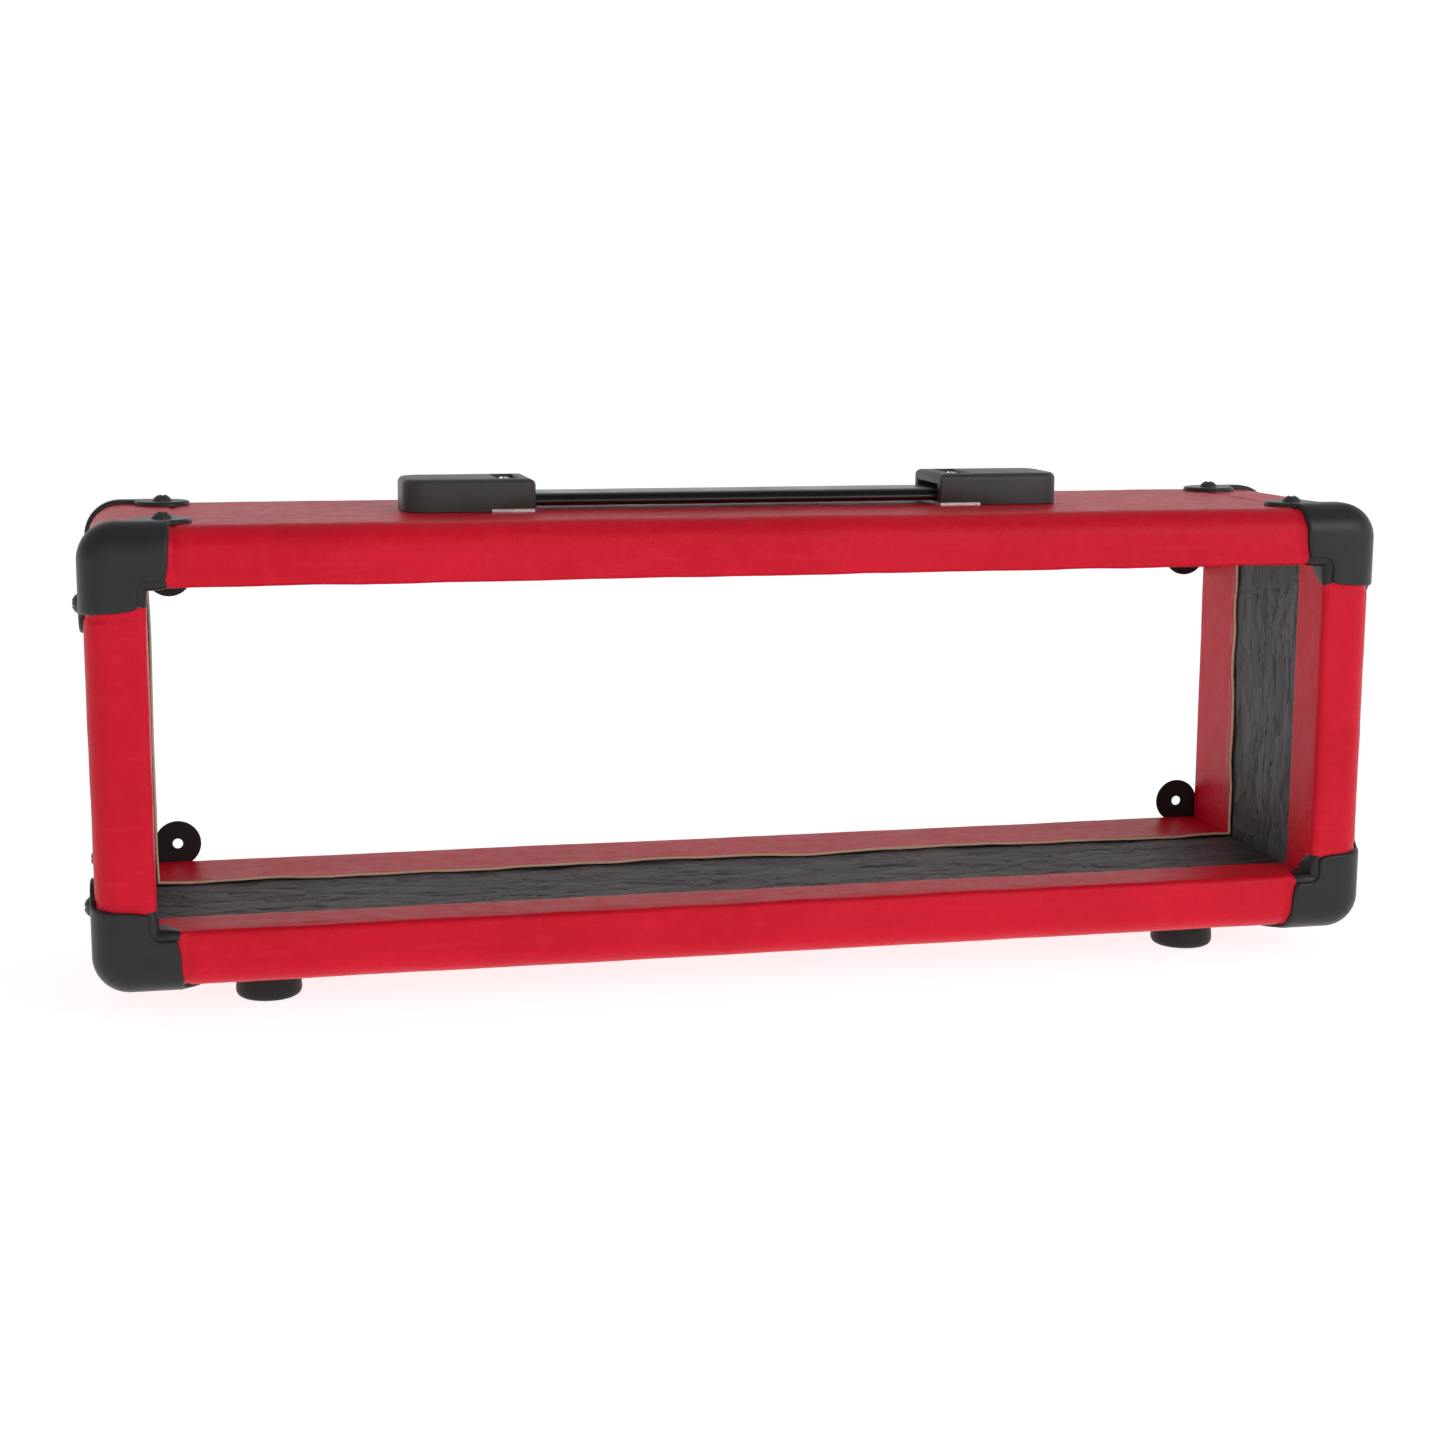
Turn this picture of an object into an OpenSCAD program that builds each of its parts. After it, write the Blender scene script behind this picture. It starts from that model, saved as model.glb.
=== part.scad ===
// Open pedal frame: a covered board frame, open front and rear, with corner
// protectors, rubber feet and a flexible strap handle on top.
// Millimetres, +Z up, +Y to the rear. The origin is under the middle of the
// frame, on the surface that the feet stand on.

/* [Frame] */
// Width of the covered frame, side to side
body_w = 530; // [500:1:600]
// Depth of the covered frame, front to rear
body_d = 127; // [118:1:160]
// Height of the covered frame, without feet or handle
body_h = 180.5; // [170:0.5:230]
// Thickness of the boards
board_t = 21.5; // [19:0.5:24]
// Thickness of the vinyl covering
vinyl_t = 1; // [0.8:0.1:1.4]
// Radius of the long outer edges, front and rear
edge_r = 10.5; // [8:0.5:12]
// Radius of the four outer corners, seen from the front
corner_r = 13; // [12.5:0.5:16]
// Depth of the vinyl turned in over the front edge
front_turn = 25; // [18:1:35]
// Depth of the vinyl turned in over the rear edge
rear_turn = 41; // [30:1:50]

/* [Corner protectors] */
// Wall thickness of a protector
guard_t = 1.8; // [1.2:0.1:2.5]
// Reach of the end-face arms along the frame
guard_reach = 33; // [31:1:36]
// Width of the raised end-face arms
guard_arm_w = 20.5; // [18:0.5:21]
// Thickness of the recessed ledge, web and ear
ledge_t = 1.1; // [0.8:0.1:1.4]
// Distance of each leg screw from the neighbouring outer face
leg_screw_in = 30.5; // [28:0.5:34]
// Distance of each leg screw from the front or rear face
leg_screw_back = 20.5; // [18:0.5:24]
// Radius of the rounded leg end round its screw
leg_r = 11.5; // [9:0.5:12]
// Distance of a rear ear's hole from the side
ear_side = 32; // [31:0.5:36]
// Distance of a rear ear's hole from the top or bottom
ear_level = 31; // [30:0.5:36]
// Radius of a rear ear
ear_r = 10; // [8:0.5:11]
// Diameter of the hole in a rear ear
ear_hole_d = 4.4; // [3:0.1:6]

/* [Handle] */
// Length over both end caps
handle_l = 279; // [260:1:300]
// Length of one end cap
cap_l = 53.5; // [48:0.5:56]
// Width of an end cap
cap_w = 37; // [35:0.5:42]
// Height of an end cap
cap_h = 13.25; // [13:0.25:16]
// Width of the strap
strap_w = 27; // [24:0.5:28]
// Thickness of the strap
strap_t = 5.5; // [5.5:0.25:7]
// Gap between the strap and the covered top
strap_gap = 1.5; // [1.5:0.1:2]
// Length of each flexing part of the strap
flex_l = 54; // [50:1:58]

/* [Feet] */
// Height of a foot
foot_h = 13.5; // [12:0.5:18]
// Radius of a foot at its widest
foot_r = 13.3; // [12:0.1:15]
// Distance of a foot's centre from the side
foot_side = 66.5; // [62:0.5:80]
// Distance of a foot's centre from the front or rear face
foot_back = 37; // [30:0.5:45]

/* [Hidden] */
$fn = 64;

top_z = foot_h + body_h;              // covered top face
mid_z = foot_h + body_h / 2;          // middle of the frame
wall_t = board_t + 2 * vinyl_t;       // covered board, as seen from the front
bay_w = body_w - 2 * wall_t;
bay_h = body_h - 2 * wall_t;
far = 2 * body_w;                     // longer than anything that it cuts
through = 20;                         // overrun of a small cutter
fit = 0.05;                           // radial play round a screw
gap = 0.3;                            // clearance between moving parts

screw_r = 1.75;                       // corner and foot screws
screw_l = 17;                         // length under the head
dome_r = 4;
dome_h = 2.6;
joint_screw_r = 2;
joint_screw_l = 45;
joint_screw_in = vinyl_t + board_t / 2;
joint_screw_pitch = 30;
joint_screw_sink = 1;                 // head below the board's surface
handle_screw_r = 2;

cap_inner = handle_l / 2 - cap_l;     // mouth of the cap, from the middle
cap_wall = 4.3;
cap_roof = 9;                         // height of the cavity
cap_end = 10;                         // solid outer end of the cap
cap_round = 3;                        // rounding of the top edge
cap_corner_r = 9;                     // plan radius of the outer corners
pocket_l = 9;
pocket_w = 26;
pocket_floor = 11;
pocket_in = 6;                        // land between the mouth and the pocket
cap_screw_x = cap_inner + pocket_in + pocket_l / 2;
boss_r = 3.2;
plate_t = 1.2;
plate_l = 17.5;
plate_edge = 0.4;                     // plate inside the cap's outline

axis_z = top_z + strap_gap + strap_t / 2;
hinge_out_x = cap_inner - 6;          // hinge between flex and tongue
hinge_in_x = hinge_out_x - flex_l;    // hinge between grip and flex
tongue_end_x = cap_screw_x - boss_r - gap - 0.7;
steel_t = 1.2;
steel_w = 19;
steel_end_x = cap_inner + 40;
slide_in = 4.4;                       // room for the tongue to slide inwards

foot_round = 3;                       // rounding of a foot's lower edge
foot_taper = 0.8;                     // narrowing of a foot towards the frame
recess_r = 6.2;                       // recess for the screw, from below
recess_h = 6.5;
washer_t = 1;

red = [0.78, 0.09, 0.18];
black = [0.17, 0.17, 0.17];
grey = [0.27, 0.27, 0.28];
zinc = [0.75, 0.76, 0.78];

// ---- shared forms ----

// Copies of the children mirrored into the given corner of the frame (+1 or -1 each way);
// the children are drawn in the left, front, bottom corner.
module in_corner(side, back, level) {
    translate([0, 0, mid_z])
        mirror([side > 0 ? 1 : 0, 0, 0])
            mirror([0, back > 0 ? 1 : 0, 0])
                mirror([0, 0, level > 0 ? 1 : 0])
                    translate([0, 0, -mid_z])
                        children();
}

module rounded_rectangle(w, h, r) {
    square([w - 2 * r, h], center = true);
    square([w, h - 2 * r], center = true);
    for (x = [-1, 1], y = [-1, 1])
        translate([x * (w / 2 - r), y * (h / 2 - r)]) circle(r);
}

// Outer form of the covered frame as one solid, inset by a distance: a block rounded along its
// front and rear edges and at its four corners
module outer_form(inset) {
    w = body_w - 2 * inset;
    d = body_d - 2 * inset;
    h = body_h - 2 * inset;
    translate([0, 0, mid_z]) intersection() {
        rotate([90, 0, 0]) linear_extrude(2 * body_d, center = true)
            rounded_rectangle(w, h, corner_r - inset);
        rotate([90, 0, 90]) linear_extrude(2 * body_w, center = true)
            rounded_rectangle(d, h, edge_r - inset);
        linear_extrude(2 * body_h, center = true) rounded_rectangle(w, d, edge_r - inset);
    }
}

// Straight-sided bay through the frame between two depths, inset from the outer faces
module bay(inset, front, rear) {
    translate([-body_w / 2 + inset, front, foot_h + inset])
        cube([body_w - 2 * inset, rear - front, body_h - 2 * inset]);
}

module frame_boards() {
    difference() {
        outer_form(vinyl_t);
        bay(wall_t - vinyl_t, -far, far);
    }
}

// Everything level with the bottom board or lower
module floor_slab() {
    translate([-far / 2, -far / 2, foot_h + wall_t - vinyl_t - far]) cube(far);
}

// Screw with a domed head, seated at z = 0 and pointing down
module dome_screw(r, l, head_r, head_h) {
    translate([0, 0, -l]) cylinder(l, r, r);
    rotate_extrude() intersection() {
        square([head_r, head_h]);
        translate([0, head_h - head_r * 1.25]) circle(head_r * 1.25);
    }
}

module screw_bore(r, l) {
    translate([0, 0, -l]) cylinder(l + through, r + fit, r + fit);
}

// Children placed at each screw of the named group, with their -Z into the frame
module at_leg_screws(face) {
    for (back = [-1, 1], way = [-1, 1]) {
        y = back * (body_d / 2 - leg_screw_back);
        if (face == "top" || face == "bottom") {
            up = face == "top" ? 1 : -1;
            translate([way * (body_w / 2 - leg_screw_in), y, mid_z + up * (body_h / 2 + guard_t)])
                rotate([up > 0 ? 0 : 180, 0, 0]) children();
        } else {
            out = face == "right" ? 1 : -1;
            translate([out * (body_w / 2 + guard_t), y, mid_z + way * (body_h / 2 - leg_screw_in)])
                rotate([0, out * 90, 0]) children();
        }
    }
}

module at_joint_screws() {
    for (side = [-1, 1], level = [-1, 1], row = [-1, 0, 1])
        translate([side * (body_w / 2 - joint_screw_in), row * joint_screw_pitch,
                   mid_z + level * (body_h / 2 - vinyl_t - joint_screw_sink)])
            rotate([level > 0 ? 0 : 180, 0, 0]) children();
}

module at_feet() {
    for (side = [-1, 1], back = [-1, 1])
        translate([side * (body_w / 2 - foot_side), back * (body_d / 2 - foot_back), 0]) children();
}

module at_handle_screws() {
    for (side = [-1, 1]) translate([side * cap_screw_x, 0, top_z]) children();
}

// Every screw hole through the boards and the vinyl
module all_bores() {
    for (face = ["top", "bottom", "left", "right"])
        at_leg_screws(face) screw_bore(screw_r, screw_l);
    at_feet() translate([0, 0, foot_h]) rotate([180, 0, 0]) screw_bore(screw_r, screw_l);
    at_handle_screws() screw_bore(handle_screw_r, screw_l);
}

module joint_bores() {
    at_joint_screws() {
        screw_bore(joint_screw_r, joint_screw_l);
        joint_screw_head(fit);
        cylinder(2 * joint_screw_sink, 2 * joint_screw_r + fit, 2 * joint_screw_r + fit);
    }
}

module joint_screw_head(play) {
    translate([0, 0, -2.4]) cylinder(2.4, joint_screw_r + play, 2 * joint_screw_r + play);
}

// ---- covered frame ----

module long_board(level) {
    color(black) difference() {
        in_corner(-1, -1, level) intersection() {
            frame_boards();
            floor_slab();
        }
        all_bores();
        joint_bores();
    }
}

module side_board(side) {
    color(black) difference() {
        in_corner(side, -1, -1) intersection() {
            frame_boards();
            translate([-far, -far / 2, 0]) cube(far);
        }
        for (level = [-1, 1]) in_corner(-1, -1, level) floor_slab();
        all_bores();
        joint_bores();
    }
}

module joint_screws() {
    color(zinc) at_joint_screws() {
        translate([0, 0, -joint_screw_l]) cylinder(joint_screw_l, joint_screw_r, joint_screw_r);
        joint_screw_head(0);
    }
}

// One skin: outside, over the front and rear edges, and a turned-in strip at each
module vinyl_cover() {
    color(red) difference() {
        outer_form(0);
        frame_boards();
        bay(wall_t, -far, far);
        bay(wall_t - vinyl_t, -body_d / 2 + front_turn, body_d / 2 - rear_turn);
        all_bores();
    }
}

// ---- corner protectors ----

// Raised pair of arms on the end face, from the outer corner at the origin
module guard_face() {
    slant = 3;
    fillet_r = 4;
    difference() {
        translate([-guard_t, -guard_t]) square(guard_reach + guard_t);
        difference() {
            translate([guard_arm_w, guard_arm_w]) square(far);
            difference() {
                translate([guard_arm_w, guard_arm_w]) square(fillet_r);
                translate([guard_arm_w + fillet_r, guard_arm_w + fillet_r]) circle(fillet_r);
            }
        }
        polygon([[guard_reach, -guard_t], [guard_reach + 1, -guard_t],
                 [guard_reach + 1, far], [guard_reach - slant, guard_arm_w]]);
        polygon([[-guard_t, guard_reach], [-guard_t, guard_reach + 1],
                 [far, guard_reach + 1], [guard_arm_w, guard_reach - slant]]);
    }
}

// Recessed ledge along the inside of the arms, with a web (front) or an ear (rear) in the
// bay's corner
module guard_ledge(rear) {
    start = corner_r;
    inner = wall_t - 0.8;
    end = guard_reach - 4;
    web = wall_t + 5.5;
    difference() {
        translate([start, start]) square(end - start);
        translate([inner, inner]) square(far);
    }
    if (rear) {
        translate([ear_side, ear_level]) circle(ear_r);
        polygon([[inner, inner], [ear_side, inner], [ear_side, ear_level], [inner, ear_level]]);
    } else {
        polygon([[inner - 1, inner - 1], [web, inner - 1], [inner - 1, web]]);
    }
}

// Shape of one leg, lying on a long face: a band along the end and a tab round the screw
module guard_leg() {
    band = leg_screw_back - 3.5;
    translate([-guard_t, -guard_t]) square([leg_screw_in + guard_t, band + guard_t]);
    translate([leg_screw_in, leg_screw_back]) circle(leg_r);
}

module guard(rear) {
    difference() {
        intersection() {
            outer_form(-guard_t);
            translate([-body_w / 2, -body_d / 2, foot_h]) union() {
                translate([0, edge_r, 0]) rotate([90, 0, 0])
                    linear_extrude(edge_r + guard_t) guard_face();
                translate([0, 0, -guard_t]) linear_extrude(corner_r + guard_t) guard_leg();
                translate([-guard_t, 0, 0]) rotate([90, 0, 90])
                    linear_extrude(corner_r + guard_t) mirror([1, -1]) guard_leg();
            }
        }
        outer_form(0);
        all_bores();
    }
    translate([-body_w / 2, -body_d / 2, foot_h]) rotate([90, 0, 0]) linear_extrude(ledge_t)
        difference() {
            guard_ledge(rear);
            if (rear) translate([ear_side, ear_level]) circle(ear_hole_d / 2);
        }
}

module corner_front_top_left() { color(black) in_corner(-1, -1, 1) guard(false); }
module corner_front_top_right() { color(black) in_corner(1, -1, 1) guard(false); }
module corner_front_bottom_left() { color(black) in_corner(-1, -1, -1) guard(false); }
module corner_front_bottom_right() { color(black) in_corner(1, -1, -1) guard(false); }
module corner_rear_top_left() { color(black) in_corner(-1, 1, 1) guard(true); }
module corner_rear_top_right() { color(black) in_corner(1, 1, 1) guard(true); }
module corner_rear_bottom_left() { color(black) in_corner(-1, 1, -1) guard(true); }
module corner_rear_bottom_right() { color(black) in_corner(1, 1, -1) guard(true); }

module corner_screws(face) {
    color(grey) at_leg_screws(face) dome_screw(screw_r, screw_l, dome_r, dome_h);
}

// ---- handle ----

// Section of the strap, lying in the plane across it: rounded edges and a groove along each side
module strap_section() {
    r = 1.6;
    difference() {
        union() {
            square([strap_w - 2 * r, strap_t], center = true);
            square([strap_w, strap_t - 2 * r], center = true);
            for (y = [-1, 1], z = [-1, 1])
                translate([y * (strap_w / 2 - r), z * (strap_t / 2 - r)]) circle(r);
        }
        for (y = [-1, 1]) translate([y * strap_w / 2, strap_t * 0.12]) circle(0.7);
    }
}

// Length of strap between two distances from the middle
module strap_run(from, to) {
    translate([from, 0, axis_z]) rotate([90, 0, 90]) linear_extrude(to - from) strap_section();
}

module across(x, r) {
    translate([x, 0, axis_z]) rotate([90, 0, 0]) cylinder(2 * strap_w, r, r, center = true);
}

// Round end of a strap part on a hinge axis
module strap_knuckle(x) {
    intersection() {
        strap_run(x - strap_t, x + strap_t);
        across(x, strap_t / 2);
    }
}

module strap_grip() {
    color(black) difference() {
        strap_run(-hinge_in_x, hinge_in_x);
        for (side = [-1, 1]) across(side * hinge_in_x, strap_t / 2 + gap);
    }
}

module strap_flex() {
    color(black) {
        difference() {
            strap_run(hinge_in_x, hinge_out_x);
            across(hinge_out_x, strap_t / 2 + gap);
        }
        strap_knuckle(hinge_in_x);
    }
}

// Moulded end of the strap with its slotted steel tongue
module strap_tongue() {
    color(black) {
        strap_run(hinge_out_x, tongue_end_x);
        strap_knuckle(hinge_out_x);
    }
    color(zinc) difference() {
        translate([tongue_end_x - 1, -steel_w / 2, axis_z - steel_t / 2])
            cube([steel_end_x - tongue_end_x + 1, steel_w, steel_t]);
        for (x = [0, slide_in]) translate([cap_screw_x + x, 0, axis_z])
            cylinder(through, boss_r + gap, boss_r + gap, center = true);
        translate([cap_screw_x, -boss_r - gap, axis_z - through / 2])
            cube([slide_in, 2 * (boss_r + gap), through]);
    }
}

// Upright profile of a cap: a rectangle whose upper corners are rounded, at both ends or at one
module cap_profile(from, to, both) {
    left = both ? cap_round : 0;
    translate([from, 0]) square([to - from, cap_h - cap_round]);
    translate([from + left, 0]) square([to - from - left - cap_round, cap_h]);
    translate([to - cap_round, cap_h - cap_round]) circle(cap_round);
    if (both) translate([from + cap_round, cap_h - cap_round]) circle(cap_round);
}

// Outer form of an end cap on the right: straight at its mouth, rounded at its outer end
module cap_form() {
    outer = handle_l / 2;
    intersection() {
        linear_extrude(cap_h) {
            translate([cap_inner, -cap_w / 2]) square([cap_l - cap_corner_r, cap_w]);
            translate([cap_inner, cap_corner_r - cap_w / 2]) square([cap_l, cap_w - 2 * cap_corner_r]);
            for (y = [-1, 1]) translate([outer - cap_corner_r, y * (cap_w / 2 - cap_corner_r)])
                circle(cap_corner_r);
        }
        translate([cap_inner - 1, 0, 0]) rotate([90, 0, 90]) linear_extrude(cap_l + 2)
            cap_profile(-cap_w / 2, cap_w / 2, true);
        rotate([90, 0, 0]) linear_extrude(2 * cap_w, center = true)
            cap_profile(cap_inner, outer, false);
    }
}

module handle_cap() {
    color(grey) translate([0, 0, top_z]) difference() {
        union() {
            difference() {
                cap_form();
                translate([cap_inner - 1, -cap_w / 2 + cap_wall, -1])
                    cube([cap_l - cap_end + 1, cap_w - 2 * cap_wall, cap_roof + 1]);
                translate([cap_inner - 1, -cap_w, -1])
                    cube([plate_l + 1 + 2 * plate_edge, 2 * cap_w, plate_t + 1]);
            }
            translate([cap_screw_x, 0, plate_t]) cylinder(cap_roof, boss_r, boss_r);
        }
        translate([cap_inner + pocket_in, -pocket_w / 2, pocket_floor])
            cube([pocket_l, pocket_w, cap_h]);
        translate([cap_screw_x, 0, 0])
            cylinder(cap_h, handle_screw_r + fit, handle_screw_r + fit);
    }
}

module handle_base() {
    plate_w = cap_w - 2 * plate_edge;
    color(zinc) translate([0, 0, top_z]) difference() {
        translate([cap_inner + plate_edge, -plate_w / 2, 0]) cube([plate_l, plate_w, plate_t]);
        translate([cap_screw_x, 0, -1])
            cylinder(plate_t + 2, handle_screw_r + fit, handle_screw_r + fit);
    }
}

module handle_screw() {
    color(zinc) translate([cap_screw_x, 0, top_z + pocket_floor])
        dome_screw(handle_screw_r, pocket_floor + screw_l - 1, 3.5, 2.2);
}

module on_left() { mirror([1, 0, 0]) children(); }

module handle_cap_right() { handle_cap(); }
module handle_cap_left() { on_left() handle_cap(); }
module handle_base_right() { handle_base(); }
module handle_base_left() { on_left() handle_base(); }
module handle_screw_right() { handle_screw(); }
module handle_screw_left() { on_left() handle_screw(); }
module strap_flex_right() { strap_flex(); }
module strap_flex_left() { on_left() strap_flex(); }
module strap_tongue_right() { strap_tongue(); }
module strap_tongue_left() { on_left() strap_tongue(); }

// ---- feet ----

module foot(side, back) {
    translate([side * (body_w / 2 - foot_side), back * (body_d / 2 - foot_back), 0])
        color(black) difference() {
            rotate_extrude() {
                square([foot_r - foot_round, foot_h]);
                polygon([[0, foot_round], [foot_r, foot_round], [foot_r - foot_taper, foot_h],
                         [0, foot_h]]);
                translate([foot_r - foot_round, foot_round]) circle(foot_round);
            }
            translate([0, 0, -1]) cylinder(recess_h + 1, recess_r, recess_r);
            cylinder(foot_h + through, screw_r + fit, screw_r + fit);
        }
}

module foot_front_left() { foot(-1, -1); }
module foot_front_right() { foot(1, -1); }
module foot_rear_left() { foot(-1, 1); }
module foot_rear_right() { foot(1, 1); }

module foot_washers() {
    color(zinc) at_feet() translate([0, 0, recess_h - washer_t]) difference() {
        cylinder(washer_t, recess_r - 0.4, recess_r - 0.4);
        translate([0, 0, -1]) cylinder(washer_t + 2, screw_r + fit, screw_r + fit);
    }
}

module foot_screws() {
    color(zinc) at_feet() translate([0, 0, recess_h - washer_t]) rotate([180, 0, 0])
        dome_screw(screw_r, foot_h - recess_h + washer_t + screw_l - 1, 3.6, 2.4);
}

// ---- the part ----

long_board(1);  // top_board
long_board(-1);  // bottom_board
side_board(-1);  // left_board
side_board(1);  // right_board
joint_screws();
vinyl_cover();
corner_front_top_left();
corner_front_top_right();
corner_front_bottom_left();
corner_front_bottom_right();
corner_rear_top_left();
corner_rear_top_right();
corner_rear_bottom_left();
corner_rear_bottom_right();
corner_screws("top");  // corner_screws_top
corner_screws("bottom");  // corner_screws_bottom
corner_screws("left");  // corner_screws_left
corner_screws("right");  // corner_screws_right
handle_cap_left();
handle_cap_right();
handle_base_left();
handle_base_right();
handle_screw_left();
handle_screw_right();
strap_grip();
strap_flex_left();
strap_flex_right();
strap_tongue_left();
strap_tongue_right();
foot_front_left();
foot_front_right();
foot_rear_left();
foot_rear_right();
foot_washers();
foot_screws();
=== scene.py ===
import math
import random

import bmesh
import bpy
import numpy as np
from mathutils import Matrix, Vector, noise
from mathutils.geometry import delaunay_2d_cdt


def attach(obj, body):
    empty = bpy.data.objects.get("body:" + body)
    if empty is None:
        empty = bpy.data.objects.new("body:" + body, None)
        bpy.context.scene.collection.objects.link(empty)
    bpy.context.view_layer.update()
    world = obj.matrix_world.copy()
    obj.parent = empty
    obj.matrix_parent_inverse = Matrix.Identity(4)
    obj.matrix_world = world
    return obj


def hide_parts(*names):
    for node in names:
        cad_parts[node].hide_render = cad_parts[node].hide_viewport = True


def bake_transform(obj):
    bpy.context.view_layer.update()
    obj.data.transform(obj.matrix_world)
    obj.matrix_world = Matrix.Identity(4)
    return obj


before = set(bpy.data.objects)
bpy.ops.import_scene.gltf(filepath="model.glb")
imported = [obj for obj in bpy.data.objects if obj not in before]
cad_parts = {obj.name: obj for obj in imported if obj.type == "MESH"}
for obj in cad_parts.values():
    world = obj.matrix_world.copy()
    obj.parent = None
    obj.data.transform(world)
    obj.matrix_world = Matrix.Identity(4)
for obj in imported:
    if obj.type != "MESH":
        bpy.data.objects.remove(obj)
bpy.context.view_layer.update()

# Lengths are in millimetres and angles in degrees up to the point where a mesh is made.
MM = 0.001

BODY_W, BODY_D, BODY_H = 530.0, 127.0, 180.5
FOOT_H = 13.5
TOP_Z = FOOT_H + BODY_H
MID_Z = FOOT_H + BODY_H / 2
WALL_T = 23.5
VINYL_T = 1.0
EDGE_R = 10.5
CORNER_R = 13.0
BAY_EDGE_R = 3.0
FRONT_TURN, REAR_TURN = 25.0, 41.0

GUARD_T = 1.8
GUARD_REACH = 33.0
GUARD_ARM_W = 20.5
GUARD_FILLET = 4.0
GUARD_BAND = 17.0
GUARD_SINK = 0.15
LEDGE_H = 1.0
WEB_REACH, WEB_DEPTH = 9.5, 11.5
RIM = ((0.0, 0.75), (0.10, 1.15), (0.35, 1.50), (0.75, 1.70), (1.30, GUARD_T))   # distance in, height
LEG_SCREW = (30.5, 20.5)
LEG_R = 11.5
EAR = (32.0, 31.0)
EAR_R = 10.0
EAR_HOLE_R = 2.2

CAP_X = (86.0, 139.5)
CAP_W, CAP_H = 37.0, 13.25
CAP_WALL, CAP_ROOF, CAP_END = 4.3, 9.0, 10.0
CAP_ROUND = 2.5
POCKET_X = (92.0, 101.0)
POCKET_W, POCKET_FLOOR = 26.0, 11.0
CAP_SCREW_X = 96.5
PLATE_T, PLATE_END = 1.2, 104.3
STRAP_T = 5.5
AXIS_Z = TOP_Z + 1.5 + STRAP_T / 2
HINGE_IN, HINGE_OUT = 26.0, 80.0
STRAP_END = 92.3
STEEL_END = 126.0
SLIDE_IN = 4.4

FOOT_AT = (198.5, 26.5)
FOOT_RECESS_H = 5.5

FLOOR_SIZE = 60            # metres
WELD = 0.002               # points closer than this become one


# ---- camera, floor and light ----

def add_camera():
    yaw, pitch, roll = (math.radians(a) for a in (12.724, 9.751, 0.225))
    ahead = Vector((math.sin(yaw) * math.cos(pitch), math.cos(yaw) * math.cos(pitch), -math.sin(pitch)))
    level = Vector((math.cos(yaw), -math.sin(yaw), 0))
    up = level.cross(ahead)
    right = math.cos(roll) * level + math.sin(roll) * up
    up = math.cos(roll) * up - math.sin(roll) * level
    data = bpy.data.cameras.new("camera")
    data.sensor_width, data.lens = 36, 60.683
    cam = bpy.data.objects.new("camera", data)
    bpy.context.collection.objects.link(cam)
    turn = Matrix((right, up, -ahead)).transposed().to_4x4()
    cam.matrix_world = Matrix.Translation((-0.23012, -1.00255, 0.27766)) @ turn
    bpy.context.scene.camera = cam


def add_light(name, size, power, place, aim=(0, 0, 0.1)):
    data = bpy.data.lights.new(name, "AREA")
    data.shape, data.size, data.size_y = "RECTANGLE", size[0], size[1]
    data.energy = power
    light = bpy.data.objects.new(name, data)
    bpy.context.collection.objects.link(light)
    light.location = place
    light.rotation_mode = "QUATERNION"
    light.rotation_quaternion = (Vector(aim) - Vector(place)).to_track_quat("-Z", "Y")


# ---- materials ----

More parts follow.
